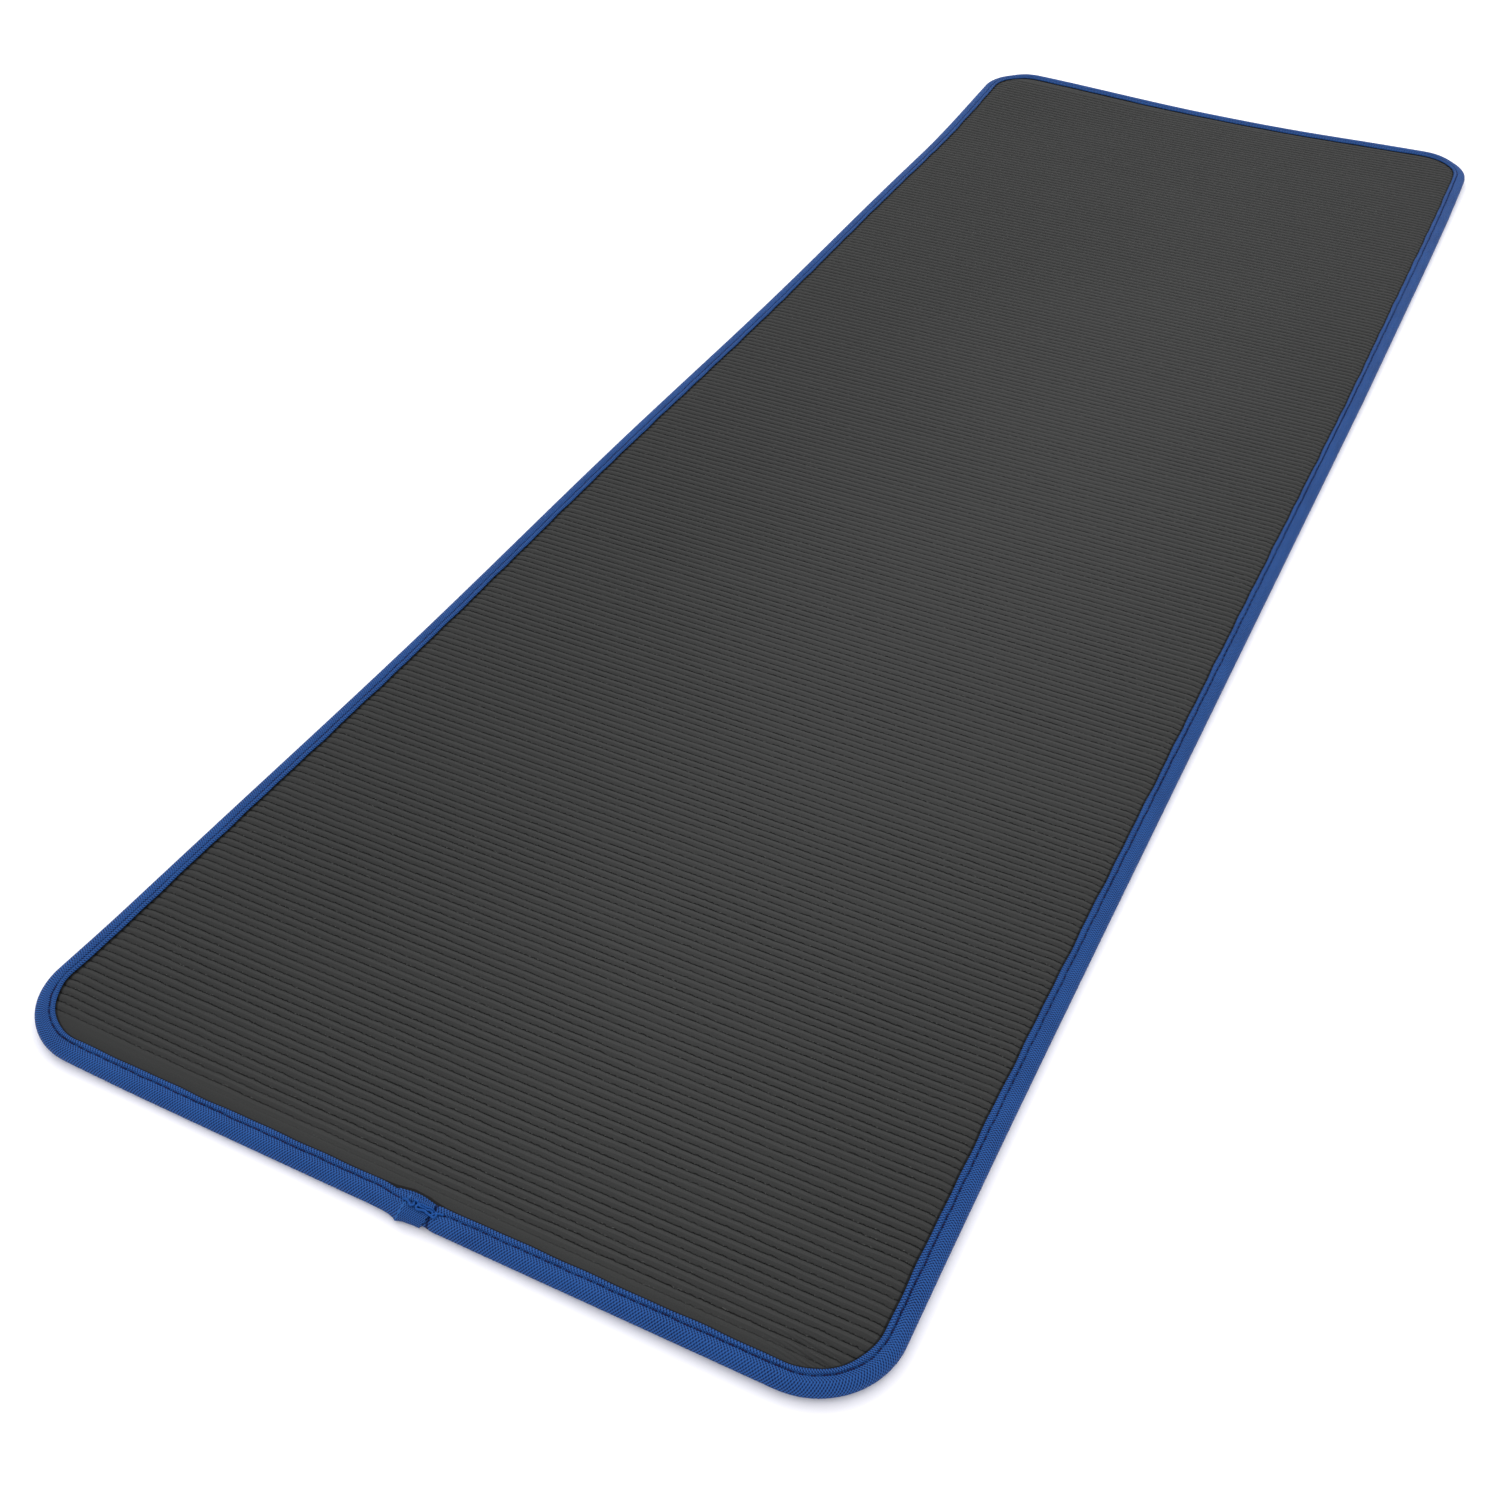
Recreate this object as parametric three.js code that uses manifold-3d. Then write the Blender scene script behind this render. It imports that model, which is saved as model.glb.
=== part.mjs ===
// A ribbed closed-cell foam floor mat whose edge is bound with one folded woven tape.
// Millimetres, +Z up. The origin is the centre of the underside, and the mat's length runs along Y.

import * as THREE from 'three';
import { mergeVertices } from 'three/addons/utils/BufferGeometryUtils.js';
import Module from 'manifold-3d';

const wasm = await Module();
wasm.setup();

// Driving dimensions of the finished mat.
const MAT_LENGTH = 1830;
const MAT_WIDTH = 610;
const MAT_THICKNESS = 10;
const CORNER_RADIUS = 55;
const EDGE_ROUND = 4;

// The binding tape: its cloth, and how far it reaches in over the foam on each face.
const TAPE_THICKNESS = 0.7;
const TAPE_REACH = 13;

// The lap on the near short side, where the tape's finishing end covers its tucked start.
const LAP_START_X = -3;
const LAP_LENGTH = 27;
const LAP_STEP = 1;

// The lockstitch seam, measured from the tape's free edge, and the back-tack that locks it.
const THREAD_DIAMETER = 0.6;
const SEAM_MARGIN = 4;
const TACK_START_X = 8;
const TACK_LENGTH = 21;
const TACK_ROW_PITCH = 1.1;
const TACK_RUN_OUT = 3;

// Free space between pieces that would touch.
const CLEARANCE = 0.3;

// Faceting.
const CORNER_SEGMENTS = 10;
const ROUND_SEGMENTS = 4;
const THREAD_SIDES = 8;
const TURN_SEGMENTS = 6;

// How far a cutting solid runs past the faces that it cuts through.
const PAST = 5;

const seamInset = TAPE_REACH - SEAM_MARGIN;
const layerStep = TAPE_THICKNESS + CLEARANCE;
const threadRadius = THREAD_DIAMETER / 2;
const channelDepth = THREAD_DIAMETER + 2 * CLEARANCE;
const channelHalfWidth = threadRadius + CLEARANCE;
const lapEndX = LAP_START_X + LAP_LENGTH;
const joggleStartX = lapEndX + CLEARANCE;
const joggleEndX = joggleStartX + LAP_STEP;
const tackEndX = TACK_START_X + TACK_LENGTH;
const tackTurn = TACK_ROW_PITCH / 2;

const foamMaterial = new THREE.MeshStandardMaterial({ color: 0x434544, roughness: 0.85, metalness: 0 });
const tapeMaterial = new THREE.MeshStandardMaterial({ color: 0x24529c, roughness: 0.7, metalness: 0 });
const threadMaterial = new THREE.MeshStandardMaterial({ color: 0x1b2b66, roughness: 0.6, metalness: 0 });

// Turns a closed three.js geometry into a solid that can be joined and cut.
function toSolid(geometry) {
  const bare = geometry.clone();
  bare.deleteAttribute('normal');
  bare.deleteAttribute('uv');
  const merged = mergeVertices(bare, 1e-4);
  return new wasm.Manifold(new wasm.Mesh({
    numProp: 3,
    vertProperties: new Float32Array(merged.attributes.position.array),
    triVerts: new Uint32Array(merged.index.array),
  }));
}

// Turns a finished solid into a named mesh.
function toMesh(name, solid, material) {
  const { vertProperties, triVerts } = solid.getMesh();
  const geometry = new THREE.BufferGeometry();
  geometry.setAttribute('position', new THREE.BufferAttribute(vertProperties, 3));
  geometry.setIndex(new THREE.BufferAttribute(triVerts, 1));
  geometry.computeVertexNormals();
  const mesh = new THREE.Mesh(geometry, material);
  mesh.name = name;
  return mesh;
}

// The mat's outline, moved inwards by inset, with its four corners as arcs.
function outline(inset) {
  const x = MAT_WIDTH / 2 - CORNER_RADIUS;
  const y = MAT_LENGTH / 2 - CORNER_RADIUS;
  const r = CORNER_RADIUS - inset;
  const shape = new THREE.Shape();
  shape.absarc(x, -y, r, -Math.PI / 2, 0, false);
  shape.absarc(x, y, r, 0, Math.PI / 2, false);
  shape.absarc(-x, y, r, Math.PI / 2, Math.PI, false);
  shape.absarc(-x, -y, r, Math.PI, Math.PI * 1.5, false);
  return shape;
}

// A slab of the mat's outline from z0 to z1, with its rim rounded top and bottom.
function slab(inset, z0, z1, round = 0) {
  const geometry = new THREE.ExtrudeGeometry(outline(inset), {
    depth: z1 - z0 - 2 * round,
    curveSegments: CORNER_SEGMENTS / 2,
    bevelEnabled: round > 0,
    bevelThickness: round,
    bevelSize: round,
    bevelOffset: -round,
    bevelSegments: ROUND_SEGMENTS,
  });
  geometry.translate(0, 0, z0 + round);
  return toSolid(geometry);
}

// A block on the near short side, from x0 to x1 and from one inset to another.
function nearBlock(x0, x1, inset0, inset1, z0, z1) {
  const geometry = new THREE.BoxGeometry(x1 - x0, inset1 - inset0, z1 - z0);
  geometry.translate((x0 + x1) / 2, -MAT_LENGTH / 2 + (inset0 + inset1) / 2, (z0 + z1) / 2);
  return toSolid(geometry);
}

// The channel that the seam pulls into one face, offset by depth: a ring, and a wide stretch for
// the rows of the back-tack.
function seamChannel(depth, z0, z1) {
  const half = channelHalfWidth + depth;
  const tackHalf = half + TACK_ROW_PITCH;
  const ring = slab(seamInset - half, z0, z1).subtract(slab(seamInset + half, z0, z1));
  const tack = nearBlock(
    TACK_START_X - tackTurn - half,
    tackEndX + TACK_RUN_OUT + depth,
    seamInset - tackHalf,
    seamInset + tackHalf,
    z0,
    z1,
  );
  return ring.add(tack);
}

// What lies under the tape's outer surface by more than depth. The tape's two layers and the
// squeezed foam under them are all bounded by such solids.
function underSurface(depth) {
  const body = slab(depth, depth, MAT_THICKNESS - depth, EDGE_ROUND - depth);
  const floor = channelDepth + depth;
  return body
    .subtract(seamChannel(depth, MAT_THICKNESS - floor, MAT_THICKNESS + PAST))
    .subtract(seamChannel(depth, -PAST, floor));
}

// One layer of tape between two depths, open in the middle where the foam shows.
function tapeLayer(outerDepth, innerDepth) {
  const window = slab(TAPE_REACH, -PAST, MAT_THICKNESS + PAST);
  return underSurface(outerDepth).subtract(underSurface(innerDepth)).subtract(window);
}

// A slice right through the near side's binding, from x0 to x1.
function nearSlice(x0, x1) {
  return nearBlock(x0, x1, -PAST, TAPE_REACH + PAST, -PAST, MAT_THICKNESS + PAST);
}

// The foam pad: full height inside the binding, and squeezed to a thin tongue under the tape,
// thinner still where the tape is double.
function foamPad() {
  const core = slab(TAPE_REACH + CLEARANCE, 0, MAT_THICKNESS);
  const doubled = nearSlice(LAP_START_X - CLEARANCE, joggleEndX + CLEARANCE);
  const tongue = underSurface(layerStep).subtract(doubled.subtract(underSurface(2 * layerStep)));
  return toMesh('foam_pad', tongue.add(core), foamMaterial);
}

// The binding: one strip of tape folded over the edge. It goes once round the mat, and its start
// is tucked under its finishing end.
function edgeBinding() {
  const round = tapeLayer(0, TAPE_THICKNESS).subtract(nearSlice(lapEndX, joggleStartX));
  const tuckedDepth = layerStep + TAPE_THICKNESS;
  const tucked = tapeLayer(layerStep, tuckedDepth).intersect(nearSlice(LAP_START_X, joggleEndX));
  const joggle = tapeLayer(0, tuckedDepth).intersect(nearSlice(joggleStartX, joggleEndX));
  return toMesh('edge_binding_tape', round.add(tucked).add(joggle), tapeMaterial);
}

// A path that passes through each of its stations in turn.
class StationPath extends THREE.Curve {
  constructor(stations) {
    super();
    this.stations = stations;
  }

  getPoint(t, target = new THREE.Vector3()) {
    const last = this.stations.length - 1;
    const at = t * last;
    const k = Math.min(Math.floor(at), last - 1);
    return target.lerpVectors(this.stations[k], this.stations[k + 1], at - k);
  }

  getPointAt(t, target) {
    return this.getPoint(t, target);
  }

  getTangentAt(t, target = new THREE.Vector3()) {
    const last = this.stations.length - 1;
    const k = Math.round(t * last);
    const before = this.stations[Math.max(k - 1, 0)];
    const after = this.stations[Math.min(k + 1, last)];
    return target.subVectors(after, before).normalize();
  }
}

// Points on an arc about (x, y), from one angle to another, both ends included.
function arcStations(x, y, z, radius, from, to, segments) {
  return Array.from({ length: segments + 1 }, (_, i) => {
    const angle = from + ((to - from) * i) / segments;
    return new THREE.Vector3(x + radius * Math.cos(angle), y + radius * Math.sin(angle), z);
  });
}

// The seam's way round the mat, from the near side's tack back to it.
function seamStations(z) {
  const x = MAT_WIDTH / 2 - CORNER_RADIUS;
  const y = MAT_LENGTH / 2 - CORNER_RADIUS;
  const r = CORNER_RADIUS - seamInset;
  const corners = [[x, -y], [x, y], [-x, y], [-x, -y]];
  return corners.flatMap(([cx, cy], i) => {
    const from = ((i - 1) * Math.PI) / 2;
    return arcStations(cx, cy, z, r, from, from + Math.PI / 2, CORNER_SEGMENTS);
  });
}

// One thread of the lockstitch: three rows of back-tack, then once round the mat, ending just
// short of the tack.
function seamThread(name, z) {
  const y = -MAT_LENGTH / 2 + seamInset;
  const quarter = Math.PI / 2;
  const start = new THREE.Vector3(TACK_START_X, y - TACK_ROW_PITCH, z);
  const farTurn = arcStations(tackEndX, y - tackTurn, z, tackTurn, -quarter, quarter, TURN_SEGMENTS);
  const nearTurn = arcStations(TACK_START_X, y + tackTurn, z, tackTurn, -quarter, -3 * quarter, TURN_SEGMENTS);
  const runOut = [
    new THREE.Vector3(tackEndX + TACK_RUN_OUT / 3, y + TACK_ROW_PITCH, z),
    new THREE.Vector3(tackEndX + TACK_RUN_OUT, y, z),
  ];
  const end = new THREE.Vector3(TACK_START_X - tackTurn - 2 * channelHalfWidth, y, z);
  const stations = [start, ...farTurn, ...nearTurn, ...runOut, ...seamStations(z), end];
  const section = new THREE.Shape().absarc(0, 0, threadRadius, 0, 2 * Math.PI, false);
  const geometry = new THREE.ExtrudeGeometry(section, {
    steps: stations.length - 1,
    curveSegments: THREAD_SIDES / 2,
    extrudePath: new StationPath(stations),
  });
  return toMesh(name, toSolid(geometry), threadMaterial);
}

// The needle thread shows on the top face, and the bobbin thread on the underside.
function seamThreads() {
  const sink = CLEARANCE + threadRadius;
  return [
    seamThread('needle_thread', MAT_THICKNESS - sink),
    seamThread('bobbin_thread', sink),
  ];
}

const mat = new THREE.Group();
mat.name = 'exercise_mat';
mat.add(foamPad(), edgeBinding(), ...seamThreads());

export default mat;
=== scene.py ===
"""A ribbed foam floor mat with a stitched woven binding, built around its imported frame.

Lengths are in metres and the axes are the frame's: the mat lies on the floor with its length
along Y, and the short side with the binding's lap is at -Y. Each class builds one of the mat's
pieces and dresses it in its finish.
"""

import logging
import math
from dataclasses import dataclass
from enum import Enum
from typing import Any

import bpy
import numpy as np
from mathutils import Matrix, Vector
from mathutils.kdtree import KDTree


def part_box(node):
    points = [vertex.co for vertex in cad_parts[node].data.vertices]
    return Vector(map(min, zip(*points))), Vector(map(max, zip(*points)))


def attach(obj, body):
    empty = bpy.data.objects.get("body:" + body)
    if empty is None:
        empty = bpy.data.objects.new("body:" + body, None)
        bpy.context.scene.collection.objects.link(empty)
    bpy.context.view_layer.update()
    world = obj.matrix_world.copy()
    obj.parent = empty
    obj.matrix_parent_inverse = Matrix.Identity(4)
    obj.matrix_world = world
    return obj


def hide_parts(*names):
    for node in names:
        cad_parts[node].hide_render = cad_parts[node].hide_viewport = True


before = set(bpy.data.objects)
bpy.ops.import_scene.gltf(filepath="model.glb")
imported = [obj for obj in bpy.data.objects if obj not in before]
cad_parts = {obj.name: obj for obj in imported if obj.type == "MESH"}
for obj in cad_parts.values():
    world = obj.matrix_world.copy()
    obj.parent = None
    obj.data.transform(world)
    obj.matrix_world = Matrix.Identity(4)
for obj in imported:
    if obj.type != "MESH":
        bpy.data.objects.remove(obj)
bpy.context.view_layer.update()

MM = 0.001
TURN = 2 * math.pi
QUARTER = math.pi / 2
UV_NAME = "UVMap"
PAST_NAME = "past_tape"
RIBBED_NAME = "ribbed"
SEAM_MARGIN = 4 * MM
WHITE = (1, 1, 1, 1)
log = logging.getLogger("mat")

Colour = tuple[float, float, float, float]
Pair = tuple[float, float]
Spot = tuple[float, float, float]


# Node trees ------------------------------------------------------------------------------------


class Signal:
    """A number that runs through a node tree, so that sums on it read as Python."""

    def __init__(self, bench: "Bench", socket: bpy.types.NodeSocket) -> None:
        """Keeps the tree that the number runs in and the socket that it comes out of."""
        self.bench = bench
        self.socket = socket

    def __add__(self, other: "Number") -> "Signal":
        """Returns self + other."""
        return self.bench.maths("ADD", self, other)

    def __radd__(self, other: "Number") -> "Signal":
        """Returns other + self."""
        return self.bench.maths("ADD", other, self)

    def __sub__(self, other: "Number") -> "Signal":
        """Returns self - other."""
        return self.bench.maths("SUBTRACT", self, other)

    def __rsub__(self, other: "Number") -> "Signal":
        """Returns other - self."""
        return self.bench.maths("SUBTRACT", other, self)

    def __mul__(self, other: "Number") -> "Signal":
        """Returns self * other."""
        return self.bench.maths("MULTIPLY", self, other)

    def __rmul__(self, other: "Number") -> "Signal":
        """Returns other * self."""
        return self.bench.maths("MULTIPLY", other, self)

    def __truediv__(self, other: "Number") -> "Signal":
        """Returns self / other."""
        return self.bench.maths("DIVIDE", self, other)

    def __rtruediv__(self, other: "Number") -> "Signal":
        """Returns other / self."""
        return self.bench.maths("DIVIDE", other, self)

    def __pow__(self, other: "Number") -> "Signal":
        """Returns self to the power other, for a self of 0 or more."""
        return self.bench.maths("POWER", self, other)

    def __abs__(self) -> "Signal":
        """Returns the size of self without its sign."""
        return self.bench.maths("ABSOLUTE", self)

    def at_least(self, other: "Number") -> "Signal":
        """Returns the larger of self and other."""
        return self.bench.maths("MAXIMUM", self, other)

    def at_most(self, other: "Number") -> "Signal":
        """Returns the smaller of self and other."""
        return self.bench.maths("MINIMUM", self, other)

    def sine(self) -> "Signal":
        """Returns the sine of self, in radians."""
        return self.bench.maths("SINE", self)

    def root(self) -> "Signal":
        """Returns the square root of self."""
        return self.bench.maths("SQRT", self)

    def whole(self) -> "Signal":
        """Returns the nearest whole number."""
        return self.bench.maths("ROUND", self)

    def bell(self, width: float) -> "Signal":
        """Returns a bell curve of self: 1 at 0, and 0.37 one width away."""
        scaled = self / width
        return self.bench.maths("POWER", math.e, scaled * scaled * -1)

    def step(self, low: "Number", high: "Number") -> "Signal":
        """Makes a smooth step.

        Args:
            low: where the step starts.
            high: where the step ends.

        Returns:
            0 up to low, and 1 from high.
        """
        node = self.bench.add(
            "ShaderNodeMapRange",
            {"interpolation_type": "SMOOTHSTEP"},
            {"Value": self, "From Min": low, "From Max": high},
        )
        return self.bench.out(node, "Result")


Number = Signal | float | int


class Bench:
    """Adds nodes to one node tree, for a shader or for geometry."""

    def __init__(self, tree: bpy.types.NodeTree) -> None:
        """Keeps the tree that the nodes go into."""
        self.tree = tree

    def add(
        self,
        kind: str,
        settings: dict[str, Any] | None = None,
        sockets: dict[str | int, Any] | None = None,
    ) -> bpy.types.Node:
        """Adds one node.

        Args:
            kind: the node's type.
            settings: its properties, set first.
            sockets: a value or a link for each input, by its identifier, name or number.

        Returns:
            The new node.
        """
        node = self.tree.nodes.new(kind)
        for name, value in (settings or {}).items():
            setattr(node, name, value)
        for name, value in (sockets or {}).items():
            self.feed(self._socket(node.inputs, name), value)
        return node

    def out(self, node: bpy.types.Node, name: str | int = 0) -> Signal:
        """Returns the output of a node that has that identifier, name or number."""
        return Signal(self, self._socket(node.outputs, name))

    def feed(self, slot: bpy.types.NodeSocket, value: Any) -> None:
        """Links a value to an input, or sets it there.

        Args:
            slot: the input.
            value: a Signal, a socket, or a plain value.
        """
        if isinstance(value, Signal):
            self.tree.links.new(value.socket, slot)
        elif isinstance(value, bpy.types.NodeSocket):
            self.tree.links.new(value, slot)
        else:
            slot.default_value = value

    def maths(self, operation: str, *values: Number) -> Signal:
        """Adds a Math node.

        Args:
            operation: what it works out.
            values: the numbers that go in.

        Returns:
            The number that comes out.
        """
        node = self.add("ShaderNodeMath", {"operation": operation}, dict(enumerate(values)))
        return self.out(node)

    def join(self, x: Number, y: Number, z: Number) -> Signal:
        """Returns a vector made of three numbers."""
        return self.out(self.add("ShaderNodeCombineXYZ", {}, {"X": x, "Y": y, "Z": z}))

    def split(self, vector: Any) -> tuple[Signal, Signal, Signal]:
        """Returns a vector's three numbers."""
        node = self.add("ShaderNodeSeparateXYZ", {}, {0: vector})
        return self.out(node, 0), self.out(node, 1), self.out(node, 2)

    def noise(self, vector: Any, scale: float = 1.0, detail: float = 1.0) -> Signal:
        """Adds smooth noise.

        Args:
            vector: where it is read.
            scale: how many lumps there are in one unit.
            detail: how many finer layers are added.

        Returns:
            The noise, from 0 to 1.
        """
        sockets = {"Vector": vector, "Scale": scale, "Detail": detail, "Roughness": 0.5}
        return self.out(self.add("ShaderNodeTexNoise", {}, sockets), 0)

    def mix(self, share: Number, first: Any, second: Any) -> Signal:
        """Blends two colours.

        Args:
            share: how much of the second colour there is, from 0 to 1.
            first: the colour at 0.
            second: the colour at 1.

        Returns:
            The blend.
        """
        node = self.add(
            "ShaderNodeMix",
            {"data_type": "RGBA", "clamp_factor": True},
            {"Factor_Float": share, "A_Color": first, "B_Color": second},
        )
        return self.out(node, "Result_Color")

    def uv(self) -> tuple[Signal, Signal]:
        """Returns the two numbers of the piece's own map."""
        node = self.add("ShaderNodeUVMap", {"uv_map": UV_NAME})
        return self.split(self.out(node))[:2]

    def stored(self, name: str) -> Signal:
        """Returns a number that the mesh holds under that name."""
        return self.out(self.add("ShaderNodeAttribute", {"attribute_name": name}), "Fac")

    @staticmethod
    def _socket(sockets: Any, name: str | int) -> bpy.types.NodeSocket:
        """Finds a socket.

        Args:
            sockets: a node's inputs or outputs.
            name: the socket's identifier, name or number.

        Returns:
            The socket.
        """
        if isinstance(name, int):
            return sockets[name]
        found = [s for s in sockets if s.identifier == name]
        return found[0] if found else sockets[name]


class Recipe:
    """A Geometry Nodes tree with named inputs, which makes one plain mesh."""

    def __init__(self, name: str, inputs: dict[str, tuple[str, Any]]) -> None:
        """Starts the tree.

        Args:
            name: the tree's name.
            inputs: each input's socket type and value, by its name.
        """
        self.tree = bpy.data.node_groups.new(name, "GeometryNodeTree")
        self.bench = Bench(self.tree)
        self.values = {name: value for name, (_, value) in inputs.items()}
        face = self.tree.interface
        face.new_socket("Geometry", in_out="INPUT", socket_type="NodeSocketGeometry")
        for name, (kind, _) in inputs.items():
            face.new_socket(name, in_out="INPUT", socket_type=f"NodeSocket{kind}")
        face.new_socket("Geometry", in_out="OUTPUT", socket_type="NodeSocketGeometry")
        self.entry = self.bench.add("NodeGroupInput")

    def given(self, name: str) -> Signal:
        """Returns one of the tree's named inputs."""
        return self.bench.out(self.entry, name)

    def finish(self, geometry: Signal) -> None:
        """Ends the tree in Realize Instances and Set Material.

        Args:
            geometry: what the tree has made.
        """
        real = self.bench.add("GeometryNodeRealizeInstances", {}, {0: geometry})
        dressed = self.bench.add(
            "GeometryNodeSetMaterial",
            {},
            {0: self.bench.out(real), "Material": self.given("Material")},
        )
        self.bench.add("NodeGroupOutput", {}, {0: self.bench.out(dressed)})

    def make(self, name: str, base: bpy.types.Mesh) -> bpy.types.Object:
        """Runs the tree on a mesh and keeps the result as a plain mesh.

        Args:
            name: the new piece's name.
            base: the mesh that the tree starts from.

        Returns:
            The piece, with no modifier left on it.
        """
        piece = place_mesh(name, base)
        modifier = piece.modifiers.new("recipe", "NODES")
        modifier.node_group = self.tree
        for item in self.tree.interface.items_tree:
            if item.in_out == "INPUT" and item.name in self.values:
                modifier[item.identifier] = self.values[item.name]
        piece.update_tag()
        depsgraph = bpy.context.evaluated_depsgraph_get()
        made = bpy.data.meshes.new_from_object(piece.evaluated_get(depsgraph))
        piece.modifiers.clear()
        piece.data = made
        made.name = name
        return piece


# Meshes ----------------------------------------------------------------------------------------


def place_mesh(name: str, mesh: bpy.types.Mesh) -> bpy.types.Object:
    """Puts a mesh into the scene at the origin.

    Args:
        name: the new object's name.
        mesh: its mesh.

    Returns:
        The new object.
    """
    piece = bpy.data.objects.new(name, mesh)
    bpy.context.scene.collection.objects.link(piece)
    return piece


def points_of(mesh: bpy.types.Mesh) -> np.ndarray:
    """Reads a mesh's points.

    Args:
        mesh: the mesh.

    Returns:
        An array with three columns.
    """
    flat = np.empty(len(mesh.vertices) * 3, np.float32)
    mesh.vertices.foreach_get("co", flat)
    return flat.reshape(-1, 3).astype(float)


def loft(name: str, rings: np.ndarray, uv: np.ndarray) -> bpy.types.Mesh:
    """Joins closed rings of points into one skin, and caps its two ends.

    Args:
        name: the mesh's name.
        rings: points by ring, place on the ring, and axis.
        uv: the map's values by ring, place on the ring with the first place repeated at the end,
            and axis.

    Returns:
        The mesh, smooth but for its flat end caps.
    """
    count, around = rings.shape[:2]
    ring, place = np.meshgrid(np.arange(count - 1), np.arange(around), indexing="ij")
    after = (place + 1) % around
    quads = np.stack(
        [ring * around + place, ring * around + after, (ring + 1) * around + after,
         (ring + 1) * around + place],
        axis=-1,
    ).reshape(-1, 4)
    first = list(range(around))[::-1]
    last = [(count - 1) * around + k for k in range(around)]
    mesh = bpy.data.meshes.new(name)
    mesh.from_pydata(rings.reshape(-1, 3).tolist(), [], quads.tolist() + [first, last])
    layer = mesh.uv_layers.new(name=UV_NAME)
    corners = np.stack(
        [uv[ring, place], uv[ring, place + 1], uv[ring + 1, place + 1], uv[ring + 1, place]],
        axis=-2,
    ).reshape(-1, 2)
    caps = np.concatenate([uv[0, first], uv[-1, list(range(around))]])
    layer.data.foreach_set("uv", np.concatenate([corners, caps]).ravel())
    mesh.polygons.foreach_set("use_smooth", [True] * len(quads) + [False, False])
    mesh.update()
    return mesh


def tube(name: str, path: np.ndarray, radius: float, sides: int = 8) -> bpy.types.Mesh:
    """Makes a round thread along a path.

    Args:
        name: the mesh's name.
        path: the points that the thread's middle passes through.
        radius: half the thread's thickness.
        sides: how many flats the thread's section has.

    Returns:
        The closed mesh, with a map of the way along and the way round.
    """
    ahead = np.gradient(path, axis=0)
    ahead /= np.linalg.norm(ahead, axis=1)[:, None]
    across = np.cross(ahead, [0.0, 0.0, 1.0])
    across /= np.linalg.norm(across, axis=1)[:, None]
    up = np.cross(across, ahead)
    turn = np.arange(sides) * TURN / sides
    rings = path[:, None] + radius * (
        np.cos(turn)[None, :, None] * across[:, None] + np.sin(turn)[None, :, None] * up[:, None]
    )
    along = np.concatenate([[0], np.cumsum(np.linalg.norm(np.diff(path, axis=0), axis=1))])
    way_round = np.arange(sides + 1) * TURN * radius / sides
    uv = np.stack(np.broadcast_arrays(along[:, None], way_round[None]), axis=-1)
    return loft(name, rings[:, ::-1], uv)


def ripple(along: np.ndarray, wavelength: float, seed: int, length: float) -> np.ndarray:
    """Makes a smooth wander that joins up after one length.

    Args:
        along: where it is wanted.
        wavelength: roughly how long one wave is.
        seed: which wander it is.
        length: the length after which it repeats.

    Returns:
        The wander, between -1 and 1.
    """
    draw = np.random.default_rng(seed)
    waves = round(length / wavelength)
    total = np.zeros_like(along, dtype=float)
    for count in (waves, round(waves * 0.62), round(waves * 1.7)):
        total += np.sin(TURN * (count * along / length + draw.random())) / 3
    return total


def smooth_step(value: np.ndarray, low: float, high: float) -> np.ndarray:
    """Returns 0 up to low, 1 from high, and a smooth rise between them."""
    share = np.clip((value - low) / (high - low), 0, 1)
    return share * share * (3 - 2 * share)


def smooth_curve(guides: np.ndarray, samples: int) -> np.ndarray:
    """Runs smooth curves through guide points.

    Args:
        guides: the points by curve, place and axis.
        samples: how many points each curve gets.

    Returns:
        The curves' points by curve, place and axis.
    """
    count = guides.shape[1]
    place = np.linspace(0, count - 1, samples)
    index = np.clip(np.floor(place).astype(int), 0, count - 2)
    t = (place - index)[None, :, None]
    p0 = guides[:, np.maximum(index - 1, 0)]
    p1, p2 = guides[:, index], guides[:, index + 1]
    p3 = guides[:, np.minimum(index + 2, count - 1)]
    return 0.5 * (
        2 * p1 + (p2 - p0) * t + (2 * p0 - 5 * p1 + 4 * p2 - p3) * t**2
        + (3 * p1 - p0 - 3 * p2 + p3) * t**3
    )


def outward(section: np.ndarray) -> np.ndarray:
    """Finds which way a section's surface faces.

    Args:
        section: points by station, place and axis, the cloth being to the left of their way.

    Returns:
        Unit directions out of the surface.
    """
    ahead = np.gradient(section, axis=1)
    out = np.stack([ahead[..., 1], -ahead[..., 0]], axis=-1)
    return out / np.linalg.norm(out, axis=-1, keepdims=True)


# Where the mat is and how it lies ----------------------------------------------------------------


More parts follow.
